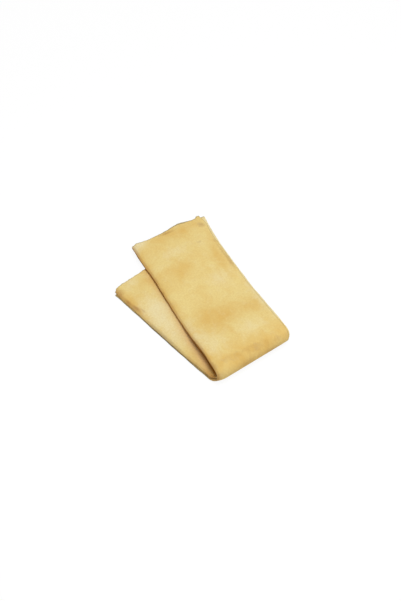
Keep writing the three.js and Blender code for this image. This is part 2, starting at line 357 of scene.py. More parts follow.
side_share = ease(row_run, SIDE_CHANGES, SIDE_CHANGED)[:, None]
rest_side = ply_depths[-1] + (ply_depths[0] - ply_depths[-1]) * side_share
print("leaves rest at depths from", round(rest_side.max(), 1), "to", round(rest_side.min(), 1), "mm")

# %% The creases pressed by hand
# The creases go by the numbers of their side lines.
INNER_LEFT = 1
RIGHT_CREASE = 2
OUTER_LEFT = 3
LEFT_PRESS = 0.34
RIGHT_PRESS = 0.2
PRESS_WIDTH = 9.0

from_left = across - np.minimum(lines[INNER_LEFT], lines[OUTER_LEFT])[:, None]
from_right = lines[RIGHT_CREASE][:, None] - across
pressed = LEFT_PRESS * np.clip(1 - from_left / PRESS_WIDTH, 0, 1) ** 2
pressed += RIGHT_PRESS * np.clip(1 - from_right / PRESS_WIDTH, 0, 1) ** 2
print("creases pressed by up to", round(pressed.max(), 2), "of the leaf's depth")

# %% The fullness of the leaf
BEND_EASES_PRESS = 0.6
BEND_SWELL = 0.45
ROUND_SWELL = 0.05
BEND_REACH = 32.0
TIP_OPENS = 9.0
UNDULATION = 0.05
UNDULATION_SINK = 0.7
LEAF_BEGINS = 30.0

on_leaf = ease(np.abs(row_run), 0, LEAF_BEGINS)[:, None]
in_bend = np.exp(-((row_run / BEND_REACH) ** 2))[:, None]
in_round = ease(row_along, 0, bend_marks[1]) * ease(row_along, bend_length, bend_marks[2])
swell = BEND_SWELL + (ROUND_SWELL - BEND_SWELL) * in_round[:, None]
opened = np.exp(-((LOWER_LENGTH + row_run) / TIP_OPENS) ** 2)[:, None]
fullness = 1 - pressed * (1 - BEND_EASES_PRESS * in_bend) * (1 - opened) + swell * in_bend
fullness += UNDULATION * on_leaf * (waves - UNDULATION_SINK)
full_depth = rest_side + (depth - rest_side) * fullness
print("fullness from", round(fullness.min(), 2), "to", round(fullness.max(), 2))

# %% The sides rolled in at the fold
LEFT_ROLL = 2.2
RIGHT_ROLL = 0.3
ROLL_WIDTH = 11.0
ROLL_START = -2.0
ROLL_FULL = 7.0
INNER_SHARE = 0.5

rolled_in = LEFT_ROLL * np.clip(1 - from_left / ROLL_WIDTH, 0, 1) ** 2
rolled_in += RIGHT_ROLL * np.clip(1 - from_right / ROLL_WIDTH, 0, 1) ** 2
rolled_in *= (ease(row_along, ROLL_START, ROLL_FULL) * (1 - ease(row_run, 0, LEAF_BEGINS)))[:, None]
way_out = (depth - ply_depths[0]) / (ply_depths[-1] - ply_depths[0])
full_depth -= rolled_in * (INNER_SHARE + (1 - INNER_SHARE) * way_out)
print("sides rolled in by up to", round(rolled_in.max(), 1), "mm")

# %% [markdown]
# The strip is now carried through its bend. Before the bend it lies flat, in the bend it goes round the
# circle of the hinges, and after it the upper leaf leans back and sinks on to the lower one, as a limp
# leaf does, so the loop of the fold is shaped like a drop. A cloth simulation would find the same
# curve, but a formula keeps it on its hinges.

# %% From the flat strip to the folded skin
SINK_LENGTH = 92.0
SEAT_GAP = 0.4
SEAT_SOFTNESS = 5.0
SINK = 2 * bend_inner - SEAT_GAP
seat_distance = SINK / np.sin(bend_turn - np.pi)


def sink_after(distance):
    """Sag of the upper leaf: a smooth step to its full depth, less its straight lean up to the seat."""
    past_seat = np.logaddexp(0, (distance - seat_distance) / SEAT_SOFTNESS) * SEAT_SOFTNESS
    leaned = (np.maximum(distance, 0) - past_seat) / seat_distance
    return np.where(distance > 0, SINK * (ease(distance, 0, SINK_LENGTH) - leaned), 0)


def folded(along, across, depth):
    """Round the bend by the rolled length over the mean radius, then straight on along the tangent."""
    rolled = np.clip(along, 0, bend_length)
    turn = rolled / bend_mean
    straight = along - rolled
    past_seat = np.maximum(straight - seat_distance, 0) * (along > bend_length)
    radius = bend_inner + depth - sink_after(along - bend_length)
    x = bend_middle[0] + radius * np.sin(turn) + straight * np.cos(turn)
    y = bend_start_y + along * np.tan(slant) + across / np.cos(slant)
    z = bend_outer - radius * np.cos(turn) + straight * np.sin(turn)
    return np.stack([x, y, z - past_seat * np.sin(turn)], axis=-1)


middle = folded(along, across, full_depth)
print("folded skin spans", np.round(np.ptp(middle.reshape(-1, 3), axis=0), 1), "mm")

# %% [markdown]
# Leather has a thickness, which shows at the cut edges. Solidify could add it, but its rim is square.
# Here each face is the middle surface moved half a thickness along its normal, and the thickness falls
# to nothing along a quarter circle at every cut, so the edges come out softly rounded and the two faces
# meet in one line.


# %% The two faces of the skin
def unit(vectors):
    """Vectors divided by their lengths."""
    return vectors / np.linalg.norm(vectors, axis=-1, keepdims=True)


def rounded(distance):
    """Quarter circle: 0 at a cut edge, 1 from one rounding radius inwards."""
    return np.sqrt(1 - (1 - np.clip(distance / EDGE_ROUND, 0, 1)) ** 2)


edge_distance = np.minimum(skin_across, skin_across[-1] - skin_across)
end_distance = np.minimum(LOWER_LENGTH + row_run, UPPER_LENGTH - row_run)
half_thickness = SKIN_THICKNESS / 2 * rounded(end_distance)[:, None] * rounded(edge_distance)
normal = unit(np.cross(np.gradient(middle, axis=1), np.gradient(middle, axis=0)))
front = middle + half_thickness[..., None] * normal
back = middle - half_thickness[..., None] * normal
print("lowest point", round(min(front[..., 2].min(), back[..., 2].min()), 2), "mm")

# %% [markdown]
# Chamois is never one colour. Cod oil and handling leave it tan in some places and cream in others,
# with brown where it was gripped, and a few brown spots on the round of the fold are painted shade.
# Noise alone would put these patches anywhere, so each is a soft round spot at its place on the skin,
# given by its ply, its place across and along, its two radii in millimetres and its strength. The spots
# add up to stains and painted shading, one number for each point of the mesh, which the material reads
# as attributes.

# %% How spots add up
# Plies are counted from 0 here, as the columns count them.
OUTER_PLY = 3
INNER_PLY = 0
HALF_PLY = 0.5
PLY_FADE = 0.1


def spotted(spots):
    """Sum of bells, each e to the power of less its squared distance in radii, on its own ply, up to 1."""
    total = np.zeros(along.shape)
    for ply, middle_across, middle_along, wide, long, strength in spots:
        own_ply = ease(np.abs(station - ply - HALF_PLY), HALF_PLY + PLY_FADE, HALF_PLY)
        bell = ((across - middle_across) / wide) ** 2 + ((strip_place - middle_along) / long) ** 2
        total += strength * own_ply * np.exp(-bell)
    return np.clip(total, 0, 1)


print("spots may lie on plies", INNER_PLY, "and", OUTER_PLY)

# %% Tan patches
TAN_SPOTS = [
    (OUTER_PLY, -13, 168, 12, 11, 0.8),
    (OUTER_PLY, -26, 175, 10, 6, 0.3),
    (OUTER_PLY, -9, 86, 19, 19, 0.9),
    (OUTER_PLY, -20, 84, 14, 14, 0.5),
    (OUTER_PLY, 26, 79, 18, 11, 0.42),
    (OUTER_PLY, 5, 226, 30, 11, 0.9),
    (OUTER_PLY, 38, 166, 9, 20, 0.7),
    (OUTER_PLY, 46, 200, 6, 14, 0.35),
    (OUTER_PLY, -10, 20, 60, 18, 0.75),
    (OUTER_PLY, 40, 26, 16, 14, 0.3),
    (OUTER_PLY, -33, 212, 12, 10, 0.25),
    (INNER_PLY, -5, -152, 9, 24, 0.9),
    (INNER_PLY, -47, -140, 7, 30, 0.9),
    (INNER_PLY, -42, -32, 12, 18, 0.4),
]
stains_and_shading = {"tan": spotted(TAN_SPOTS)}
print(len(TAN_SPOTS), "tan spots, mean strength", round(float(stains_and_shading["tan"].mean()), 3))

# %% Cream patches
CREAM_SPOTS = [
    (OUTER_PLY, -7, 198, 16, 7, 0.5),
    (OUTER_PLY, 22, 136, 13, 12, 0.6),
    (OUTER_PLY, 26, 200, 10, 7, 0.25),
    (OUTER_PLY, 17, 51, 16, 11, 0.5),
    (OUTER_PLY, -33, 53, 15, 20, 0.5),
    (OUTER_PLY, -38, 229, 9, 7, 1.0),
    (OUTER_PLY, -47, 222, 5, 9, 0.6),
    (OUTER_PLY, -44, 82, 6, 24, 0.5),
    (OUTER_PLY, 48, 88, 5, 34, 0.55),
    (INNER_PLY, -30, -120, 16, 20, 1.0),
    (INNER_PLY, -38, -85, 12, 26, 0.8),
    (INNER_PLY, -26, -173, 10, 8, 0.5),
]
stains_and_shading["cream"] = spotted(CREAM_SPOTS)
print(len(CREAM_SPOTS), "cream spots, mean strength", round(float(stains_and_shading["cream"].mean()), 3))

# %% Brown marks, and painted shade on the round of the fold
BROWN_SPOTS = [
    (INNER_PLY, -46, -169, 5, 8, 0.5),
    (INNER_PLY, -47.5, -152, 2, 8, 0.45),
    (INNER_PLY, -46.5, -136, 1.8, 8, 0.55),
    (INNER_PLY, -43.5, -129, 1.3, 5, 0.35),
    (OUTER_PLY, -1, 229, 12, 2, 0.5),
    (OUTER_PLY, 28, 198, 5, 2, 0.35),
    (OUTER_PLY, 46, 178, 2, 24, 0.3),
    (OUTER_PLY, 47, 152, 2.5, 14, 0.35),
    (OUTER_PLY, 44, 221, 5, 5, 0.35),
    # These four spots on the round of the fold are painted shade: darker bands where the fold turns away
    # from the light.
    (OUTER_PLY, 0, 8, 70, 8, 0.22),
    (OUTER_PLY, 8, 24, 60, 5, 0.25),
    (OUTER_PLY, -7, 14, 11, 4, 0.2),
    (OUTER_PLY, 28, 14, 12, 4, 0.3),
]
stains_and_shading["brown"] = spotted(BROWN_SPOTS)
print(len(BROWN_SPOTS), "brown spots, mean strength", round(float(stains_and_shading["brown"].mean()), 3))

# %% [markdown]
# Other marks follow the form: painted shade in the creases and in the mouth of the fold, grime on the
# cut edges, darker cut ends, painted shadow where the lower leaf lies on the floor, and a painted contact
# shadow, with painted bounce light beside it, where the upper leaf touches the lower one. They could be
# painted by hand, but the grid already knows how far each point is from a crease, an edge or a line, and
# a bell-shaped band turns such a distance into a mark.

# %% Painted shade in the creases and in the mouth
CREASE_SHADE = 0.45
CREASE_WIDTH = 1.8
LOWER_LESS_SHADE = 0.3
LEAF_RAMP = 20.0
MOUTH_SHADE = 0.7
MOUTH_LENGTH = 12.0
MOUTH_PLACE = 11.0
MOUTH_WIDTH = 7.0
INNER_PLY_ENDS = 1.02
INNER_PLY_GONE = 1.06
SHOWS = 0.3


def band(distance, width):
    """Bell-shaped band: e to the power of less the square of distance over width, so 1 on its line."""
    return np.exp(-((distance / width) ** 2))


plies_away = np.minimum(np.abs(station - INNER_LEFT), np.abs(station - OUTER_LEFT))
crease_distance = plies_away * 2 * HALF_WIDTH
on_lower_leaf = ease(row_run, 0, -LEAF_RAMP)[:, None]
on_upper_leaf = ease(row_run, 0, LEAF_RAMP)[:, None]
on_inner_ply = ease(station, INNER_PLY_GONE, INNER_PLY_ENDS)
before_half_bend = ease(row_along, bend_length / 2, 0)[:, None]


def mouth_shading(strength, length, place, width):
    """Painted shade in the fold's mouth: a band along times a band across, on the lower half of the inner
    ply.
    """
    along_part = strength * band(row_run, length)[:, None] * on_inner_ply
    return along_part * (band(from_left - place, width) * before_half_bend)


# The brown in the creases and in the mouth is painted shade, weaker on the lower leaf's creases.
crease_shade = CREASE_SHADE * band(crease_distance, CREASE_WIDTH) * (1 - LOWER_LESS_SHADE * on_lower_leaf)
mouth_shade = mouth_shading(MOUTH_SHADE, MOUTH_LENGTH, MOUTH_PLACE, MOUTH_WIDTH)
stains_and_shading["brown"] = np.clip(stains_and_shading["brown"] + crease_shade + mouth_shade, 0, 1)
print("brown on", round(100 * float((stains_and_shading["brown"] > SHOWS).mean()), 1), "% of the grid")

# %% Painted warm shade under the upper leaf's left creases
# It also covers the nose, which is the left end of the fold, inside its mouth.
SEAM_SHADE = 0.75
SEAM_WIDTH = 1.0
SEAM_TOP = 5.3
SEAM_FULL = 4.6
SEAM_START = -5.0
SEAM_BY = 10.0
NOSE_SHADE = 0.5
NOSE_LENGTH = 14.0
NOSE_PLACE = 4.0
NOSE_WIDTH = 7.0

# The warm brown is painted shade on the lower parts of the upper leaf's left creases and on the nose.
seam = SEAM_SHADE * band(crease_distance, SEAM_WIDTH) * ease(depth, SEAM_TOP, SEAM_FULL)
seam_shade_from_fold = seam * ease(row_run, SEAM_START, SEAM_BY)[:, None]
nose_shade = mouth_shading(NOSE_SHADE, NOSE_LENGTH, NOSE_PLACE, NOSE_WIDTH)
stains_and_shading["seam"] = np.clip(seam_shade_from_fold + nose_shade, 0, 1)
print("warm brown on", round(100 * float((stains_and_shading["seam"] > SHOWS).mean()), 1), "% of the grid")

# %% Grime on the cut edges, darker cut ends, and painted shadow at the foot
# The foot is where the lower leaf's left crease meets the floor, and the side is the crease above it.
EDGE_GRIME = 0.6
EDGE_GRIME_WIDTH = 0.6
END_DARKENING = 0.9
END_DARKENING_WIDTH = 0.8
FOOT_SHADOW = 0.8
FOOT_WIDTH = 0.01
FOOT_HEIGHT = 0.7 * CREASE_RADIUS
FOOT_RAMP = 10.0
SIDE_DARKENING = 0.27
SIDE_PLACE = -82.0
SIDE_LENGTH = 30.0

edge_grime = EDGE_GRIME * band(edge_distance, EDGE_GRIME_WIDTH)
# The cut ends are darker, most along the far end of the upper leaf.
end_darkening = END_DARKENING * band(UPPER_LENGTH - row_run, END_DARKENING_WIDTH)[:, None]
end_darkening = end_darkening + EDGE_GRIME * band(LOWER_LENGTH + row_run, EDGE_GRIME_WIDTH)[:, None]
cut_darkening = np.maximum(edge_grime, end_darkening)
# The foot's dark is painted shadow, where the underside of the lower leaf's left crease meets the floor.
foot_top = ply_depths[OUTER_LEFT - 1]
foot_shadow = FOOT_SHADOW * band(station - OUTER_LEFT, FOOT_WIDTH)
foot_shadow = foot_shadow * ease(depth, foot_top, foot_top + FOOT_HEIGHT)
foot_shadow = foot_shadow * ease(row_run, 0, -FOOT_RAMP)[:, None]
# The side is darker along the lower leaf's left creases, around 82 mm before the fold.
side_darkening = SIDE_DARKENING * band(crease_distance, CREASE_WIDTH)
side_darkening = side_darkening * band(row_run - SIDE_PLACE, SIDE_LENGTH)[:, None]
stains_and_shading["grime_and_shade"] = np.clip(cut_darkening + foot_shadow + side_darkening, 0, 1)
print("grime on", round(100 * float((stains_and_shading["grime_and_shade"] > SHOWS).mean()), 1), "% of the grid")

# %% The painted shadow along the line where the upper leaf lies on the lower one
# The painted contact shadow is narrower than the grid's own squares, so the mesh carries only the
# distance from its line, in widths of the line, and the material draws the band.
CONTACT_SHADOW = 0.75
MOUTH_CONTACT_SHADOW = 0.97
CONTACT_WIDTH = 0.8
CONTACT_SPREAD = 0.5
CONTACT_SHIFT = 2.0
CONTACT_FAR = 8.0
MOUTH_FAR = -120.0
MOUTH_NEAR = -40.0
MOUTH_BOUNCE = 0.9
TIP_BOUNCE = 0.3
BOUNCE_WIDTH = 6.0
ON_LINE = 0.001

left_column = np.argmax(np.where(np.abs(station - OUTER_LEFT) < ON_LINE, np.abs(offset), 0))
upper_left_line = middle[row_run > 0, left_column][::-1]
crease_above = np.interp(middle[..., 0], upper_left_line[:, 0], upper_left_line[:, 1])
contact_distance = (middle[..., 1] - crease_above) * np.cos(slant)
in_mouth = ease(row_run, MOUTH_FAR, MOUTH_NEAR)[:, None]
rub_place = (contact_distance - CONTACT_SHIFT * in_mouth) / (CONTACT_WIDTH + CONTACT_SPREAD * in_mouth)
stains_and_shading["rub_place"] = np.clip(rub_place, -CONTACT_FAR, CONTACT_FAR)
contact_shadow_level = CONTACT_SHADOW + (MOUTH_CONTACT_SHADOW - CONTACT_SHADOW) * in_mouth
stains_and_shading["rub_strength"] = contact_shadow_level * on_inner_ply * before_half_bend
# The lighter warm tint beside the line is painted bounce light, warming the shade near the mouth of the
# fold.
warm_bounce = TIP_BOUNCE + (MOUTH_BOUNCE - TIP_BOUNCE) * in_mouth
stains_and_shading["warm_bounce"] = warm_bounce * band(contact_distance, BOUNCE_WIDTH) * on_inner_ply * on_lower_leaf
# The line printed here is where the painted contact shadow lies.
print("nearest to the rubbed line:", round(float(np.abs(contact_distance).min()), 3), "mm")

# %% Tan and painted shade along the left crease, a painted highlight along the right one
TOP_TAN_AND_SHADE = 0.6
TOP_TAN_WIDTH = 5.0
OUTER_PLY_NEAR = 2.9
RIGHT_CREASE_HIGHLIGHT = 0.85
HIGHLIGHT_WIDTH = 4.0

# The tan beside the upper leaf's left crease is partly painted shade, where the top rolls down to the
# crease.
top_tan_and_shade = TOP_TAN_AND_SHADE * band(from_left, TOP_TAN_WIDTH)
top_tan_and_shade = top_tan_and_shade * ease(station, OUTER_PLY_NEAR, OUTER_PLY) * on_upper_leaf
stains_and_shading["tan"] = np.clip(stains_and_shading["tan"] + top_tan_and_shade, 0, 1)
# The cream along the upper leaf's right crease is a painted highlight, where the crease catches the light.
right_crease_highlight = RIGHT_CREASE_HIGHLIGHT * band((station - RIGHT_CREASE) * 2 * HALF_WIDTH, HIGHLIGHT_WIDTH) * on_upper_leaf
stains_and_shading["cream"] = np.clip(stains_and_shading["cream"] + right_crease_highlight, 0, 1)
print(len(stains_and_shading), "stains:", ", ".join(stains_and_shading))

# %% [markdown]
# The skin is one piece on the real object, but it has to bend on three hinges, and each mesh can bend
# on only one. So it is made as three stretches that meet inside the bend, each a closed shell with a
# cap where it was divided. Each could keep its own normals, but then a line would show where they meet,
# so they share one set of normals, worked out on the whole skin.


# %% Grids of points to closed shells
def shell_faces(rows, columns, first_is_end, last_is_end):
    """Quads of both faces of a grid that share their cut edges, with a cap where the grid was divided."""
    face = np.arange(rows * columns).reshape(rows, columns)
    other = face + rows * columns
    other[:, [0, -1]] = face[:, [0, -1]]
    if first_is_end:
        other[0] = face[0]
    if last_is_end:
        other[-1] = face[-1]
    quads = []
    for grid, order in ((face, 1), (other, -1)):
        corners = [grid[:-1, :-1], grid[1:, :-1], grid[1:, 1:], grid[:-1, 1:]]
        quads.append(np.stack([corner.ravel() for corner in corners[::order]], axis=1))
    if not first_is_end:
        quads.append(np.stack([face[0, :-1], face[0, 1:], other[0, 1:], other[0, :-1]], axis=1))
    if not last_is_end:
        quads.append(np.stack([face[-1, :-1], other[-1, :-1], other[-1, 1:], face[-1, 1:]], axis=1))
    return np.concatenate(quads)


def without_repeats(quads):
    """Faces as lists: whole quads, then triangles for the quads that name a corner twice in a row."""
    repeated = quads == np.roll(quads, 1, axis=1)
    pinched = repeated.any(axis=1)
    triangles = quads[pinched][~repeated[pinched]].reshape(-1, 3)
    return quads[~pinched].tolist() + triangles.tolist()


print("a closed shell of 3 x 3 points has", len(without_repeats(shell_faces(3, 3, True, True))), "faces")


# %% Rows of the skin as a mesh
def make_shell(name, first_row, last_row):
    """Mesh object of the rows from first to last, with the place on the skin as UV map, and the stains and
    painted shading.
    """
    rows = slice(first_row, last_row + 1)
    count = last_row + 1 - first_row
    columns = len(station)
    quads = shell_faces(count, columns, first_row == 0, last_row == len(row_along) - 1)
    used, quads = np.unique(quads, return_inverse=True)
    quads = quads.reshape(-1, 4)
    points = np.concatenate([front[rows].reshape(-1, 3), back[rows].reshape(-1, 3)])[used] * MILLIMETRE
    skin_u = np.broadcast_to(skin_across, (count, columns))
    skin_map = np.stack([skin_u, strip_place[rows]], axis=-1).reshape(-1, 2)
    skin_map = np.concatenate([skin_map, skin_map])[used] * MILLIMETRE
    mesh = bpy.data.meshes.new(name)
    mesh.from_pydata(points.tolist(), [], without_repeats(quads))
    corner_points = np.empty(len(mesh.loops), int)
    mesh.loops.foreach_get("vertex_index", corner_points)
    mesh.uv_layers.new(name="skin").data.foreach_set("uv", skin_map[corner_points].ravel())
    for mark_name, mark_values in stains_and_shading.items():
        values = np.tile(mark_values[rows].ravel(), 2)[used]
        mesh.attributes.new(mark_name, "FLOAT", "POINT").data.foreach_set("value", values)
    mesh.polygons.foreach_set("use_smooth", np.ones(len(mesh.polygons), bool))
    piece = bpy.data.objects.new(name, mesh)
    bpy.context.collection.objects.link(piece)
    return piece, used


whole, whole_used = make_shell("whole_skin", 0, len(row_along) - 1)
print("the whole skin has", len(whole.data.polygons), "faces")

# %% Normals of the whole skin
whole_normals = np.empty(len(whole.data.vertices) * 3)
whole.data.vertices.foreach_get("normal", whole_normals)
skin_normals = np.zeros((2 * along.size, 3))
skin_normals[whole_used] = whole_normals.reshape(-1, 3)
skin_normals = skin_normals.reshape(2, *along.shape, 3)
border = np.abs(skin_normals[1]).sum(axis=-1) == 0
skin_normals[1][border] = skin_normals[0][border]
bpy.data.meshes.remove(whole.data)
print("normals of", len(whole_used), "points worked out")

# %% The three stretches
STRETCHES = {
    "lower_stretch": (0, first_cut),
    "fold_stretch": (first_cut, last_cut),
    "upper_stretch": (last_cut, len(row_along) - 1),
}
skin_pieces = {}
for name, (first_row, last_row) in STRETCHES.items():
    piece, used = make_shell(name, first_row, last_row)
    own_normals = skin_normals[:, first_row : last_row + 1].reshape(-1, 3)[used]
    piece.data.normals_split_custom_set_from_vertices(own_normals)
    skin_pieces[name] = piece
    print(name, len(piece.data.polygons), "faces")

# %% [markdown]
# Chamois is a suede: both faces are rubbed until a short, soft nap stands up, so it has almost no gloss
# and a faint bloom at glancing angles. Its colour is the yellow of oxidised fish oil. A leather
# photograph could be wrapped round it, but patterns made of nodes stay sharp at any size. One function
# turns the colours as written to the linear values that shaders use, and one adds a node with its
# settings and links.


# %% Helpers for the material
def linear(colour):
    """sRGB hex to linear RGB and opacity: low parts divided by 12.92, the rest to the power of 2.4."""
    parts = np.array([int(colour[i : i + 2], 16) for i in (1, 3, 5)]) / 255
    light = np.where(parts <= 0.04045, parts / 12.92, ((parts + 0.055) / 1.055) ** 2.4)
    return (*light.tolist(), 1.0)


def add_node(tree, kind, settings=None, inputs=None):
    """A node of the given kind: settings are properties, inputs are sockets, each a value or an output."""
    node = tree.nodes.new(kind)
    for name, value in (settings or {}).items():
        setattr(node, name, value)
    for socket, value in (inputs or {}).items():
        if isinstance(value, bpy.types.NodeSocket):
            tree.links.new(value, node.inputs[socket])
        else:
            node.inputs[socket].default_value = value
    return node


print("middle grey in linear light:", np.round(linear("#808080"), 3))

# %% Oil-tanned chamois leather, rubbed to a nap
# Tanning leaves slow mottles, stretching leaves smaller clouds, and rubbing leaves the nap. The nap's
# own fibres are far finer than a pixel, so they are drawn coarse enough to show.
MOTTLE_SIZE = 24 * MILLIMETRE
CLOUD_SIZE = 9 * MILLIMETRE
NAP_SIZE = 2.2 * MILLIMETRE
PATTERNS = {
    "mottle": {"Scale": 1 / MOTTLE_SIZE, "Detail": 4.0, "Roughness": 0.6, "Distortion": 0.6},
    "cloud": {"Scale": 1 / CLOUD_SIZE, "Detail": 3.0, "Roughness": 0.6, "Distortion": 0.3},
    "nap": {"Scale": 1 / NAP_SIZE, "Detail": 2.0, "Roughness": 0.7},
}

chamois = bpy.data.materials.new("oil_tanned_chamois_napped")
chamois.use_nodes = True
tree = chamois.node_tree
tree.nodes.clear()
skin_place = add_node(tree, "ShaderNodeUVMap", {"uv_map": "skin"}).outputs["UV"]
flat_noise = {"noise_dimensions": "2D"}
patterns = {}
for name, sizes in PATTERNS.items():
    noise_inputs = {"Vector": skin_place, **sizes}
    patterns[name] = add_node(tree, "ShaderNodeTexNoise", flat_noise, noise_inputs).outputs["Fac"]
print("patterns of", MOTTLE_SIZE, CLOUD_SIZE, NAP_SIZE, "metres")

# %% The share of each stain and painted shade
# Tan follows the mottles, cream and brown the clouds, so no patch has an even rim.
SWINGS = {
    "tan": {"pattern": "mottle", "spread": 1.5, "bias": 0.1},
    "cream": {"pattern": "cloud", "spread": 0.9, "bias": -0.05},
    "brown": {"pattern": "cloud", "spread": 0.5, "bias": -0.12},
}
PATTERN_MIDDLE = 0.5
multiply_add = {"operation": "MULTIPLY_ADD"}
held_add = {"operation": "ADD", "use_clamp": True}

shares = {}
for name in stains_and_shading:
    shares[name] = add_node(tree, "ShaderNodeAttribute", {"attribute_name": name}).outputs["Fac"]
for name, swing in SWINGS.items():
    lowered = swing["bias"] - PATTERN_MIDDLE * swing["spread"]
    swing_inputs = {0: patterns[swing["pattern"]], 1: swing["spread"], 2: lowered}
    swung = add_node(tree, "ShaderNodeMath", multiply_add, swing_inputs).outputs[0]
    shares[name] = add_node(tree, "ShaderNodeMath", held_add, {0: shares[name], 1: swung}).outputs[0]
print("shares that follow a pattern:", ", ".join(SWINGS))

# %% The shares of the nap and of the painted contact shadow
# The contact shadow's bell is 1 / e to the power of its squared distance, and it adds to the painted seam
# shade.
NAP_SPREAD = 0.6
NAP_BIAS = -0.15
held_multiply_add = {"operation": "MULTIPLY_ADD", "use_clamp": True}

nap_inputs = {0: patterns["nap"], 1: NAP_SPREAD, 2: NAP_BIAS}
shares["nap"] = add_node(tree, "ShaderNodeMath", held_multiply_add, nap_inputs).outputs[0]
square_inputs = {0: shares["rub_place"], 1: shares["rub_place"]}
contact_squared = add_node(tree, "ShaderNodeMath", {"operation": "MULTIPLY"}, square_inputs).outputs[0]
bell_inputs = {0: 1 / np.e, 1: contact_squared}
contact_bell = add_node(tree, "ShaderNodeMath", {"operation": "POWER"}, bell_inputs).outputs[0]
contact_inputs = {0: contact_bell, 1: shares["rub_strength"], 2: shares["seam"]}
shares["seam"] = add_node(tree, "ShaderNodeMath", held_multiply_add, contact_inputs).outputs[0]
print("shares of", ", ".join(shares))

# %% The colours of the chamois and of its painted light and shade, laid one over the other
STRAW = "#e7d18b"
# Besides the leather's own colours, brown also paints shade in the creases, the mouth and the fold, the
# seam layer is painted shade, the lighter warm layer is painted bounce light, the grey layer holds painted
# shadow at the foot, and cream holds a painted highlight on the right crease.
LAYERS = {
    "tan": "#deb968",
    "cream": "#ebddac",
    "warm_bounce": "#e7bb82",
    "nap": "#c9a05c",
    "brown": "#8e4c04",
    "seam": "#ac6d0a",
    "grime_and_shade": "#6f6350",
}
# The Mix node has sockets of several kinds under one name, so its colour sockets go by number.
RGB_FACTOR, RGB_A, RGB_B, RGB_RESULT = 0, 6, 7, 2

leather_colour = linear(STRAW)
for name, colour in LAYERS.items():
    mix_inputs = {RGB_FACTOR: shares[name], RGB_A: leather_colour, RGB_B: linear(colour)}
    mix = add_node(tree, "ShaderNodeMix", {"data_type": "RGBA"}, mix_inputs)
    leather_colour = mix.outputs[RGB_RESULT]
print("straw under", len(LAYERS), "layers of colour")

# %% The surface of the chamois
PUCKER_DEPTH = 0.5 * MILLIMETRE
PUCKER_STRENGTH = 0.6
NAP_DEPTH = 0.25 * MILLIMETRE
NAP_STRENGTH = 0.35
ROUGH_LEAST = 0.88
ROUGH_MOST = 1.0
BLOOM = "#fff0cf"

pucker_bump = {"Height": patterns["cloud"], "Strength": PUCKER_STRENGTH, "Distance": PUCKER_DEPTH}
puckered = add_node(tree, "ShaderNodeBump", None, pucker_bump).outputs["Normal"]
nap_bump = {"Height": patterns["nap"], "Strength": NAP_STRENGTH, "Distance": NAP_DEPTH}
nap_bump["Normal"] = puckered
nap_normal = add_node(tree, "ShaderNodeBump", None, nap_bump).outputs["Normal"]
rough_range = {"Value": patterns["nap"], "To Min": ROUGH_LEAST, "To Max": ROUGH_MOST}
rough = add_node(tree, "ShaderNodeMapRange", None, rough_range).outputs["Result"]
leather_inputs = {
    "Base Color": leather_colour,
    "Roughness": rough,
    "Normal": nap_normal,
    "Specular IOR Level": 0.15,
    "Sheen Weight": 0.12,
    "Sheen Roughness": 0.6,
    "Sheen Tint": linear(BLOOM),
}
leather = add_node(tree, "ShaderNodeBsdfPrincipled", None, leather_inputs)
add_node(tree, "ShaderNodeOutputMaterial", None, {"Surface": leather.outputs["BSDF"]})
for piece in skin_pieces.values():
    piece.data.materials.append(chamois)
print("material", chamois.name, "with", len(tree.nodes), "nodes")

# %% [markdown]
# Each stretch now takes the place of the solid panels it was shaped on: its transform is baked into its
# mesh, and those panels are hidden.

# %% What each stretch stands for
PLY_PANELS = ["ply_1", "ply_2", "ply_3", "ply_4"]
CREASE_PANELS = ["left_crease_1_2", "right_crease_2_3", "left_crease_3_4"]
PANEL_STARTS = {
    "lower_stretch": ["lower"],
    "fold_stretch": ["fold_lower", "fold_upper"],
    "upper_stretch": ["upper"],
}

# %% The stretches take their places
for number, (name, piece) in enumerate(skin_pieces.items()):
    # The first hinge lies half a hinge's turn past the start of the bend.
    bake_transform(piece)
    starts = PANEL_STARTS[name]
    panels = [f"{start_name}_{panel}" for start_name in starts for panel in PLY_PANELS + CREASE_PANELS]
    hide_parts(*panels)

# %% [markdown]
# The leather lies on a plain white sheet. Light strong enough to make that sheet quite white would
# bleach the leather too. So rays from the camera, or from a gloss or a glass, see mostly plain white
# with a share of real light and shadow, and every other ray meets an ordinary pale surface.

# %% Which rays see the white
VIEW_RAYS = ["Is Glossy Ray", "Is Transmission Ray"]


def view_ray(tree):
    """1 for rays that picture what they hit, from the camera, a gloss or a glass, and 0 for the rest."""
    paths = add_node(tree, "ShaderNodeLightPath")
    seen = paths.outputs["Is Camera Ray"]
    for ray in VIEW_RAYS:
        either = {0: seen, 1: paths.outputs[ray]}
        seen = add_node(tree, "ShaderNodeMath", {"operation": "MAXIMUM"}, either).outputs[0]
    return seen


print("white for camera rays and", VIEW_RAYS)

# %% The floor
FLOOR_SIZE = 6.0
FLOOR_DROP = 0.0002

floor_mesh = bpy.data.meshes.new("floor")
floor_corners = FLOOR_SIZE * np.array([[-0.5, -0.5], [0.5, -0.5], [0.5, 0.5], [-0.5, 0.5]])
floor_points = np.column_stack([floor_corners, np.full(len(floor_corners), -FLOOR_DROP)])
floor_mesh.from_pydata(floor_points.tolist(), [], [(0, 1, 2, 3)])
floor = bpy.data.objects.new("floor", floor_mesh)
bpy.context.collection.objects.link(floor)
print("floor", FLOOR_SIZE, "metres wide")

# %% Matt white card
# Card is pressed paper with no gloss, so the eye sees only its paleness and the soft shadow on it.
FLOOR_PALE = "#e4e4e4"
FLOOR_LIT = "#f8f8f8"
WHITE = "#ffffff"
FLOOR_GLOW = 1.02
SHADOW_SHARE = 0.1

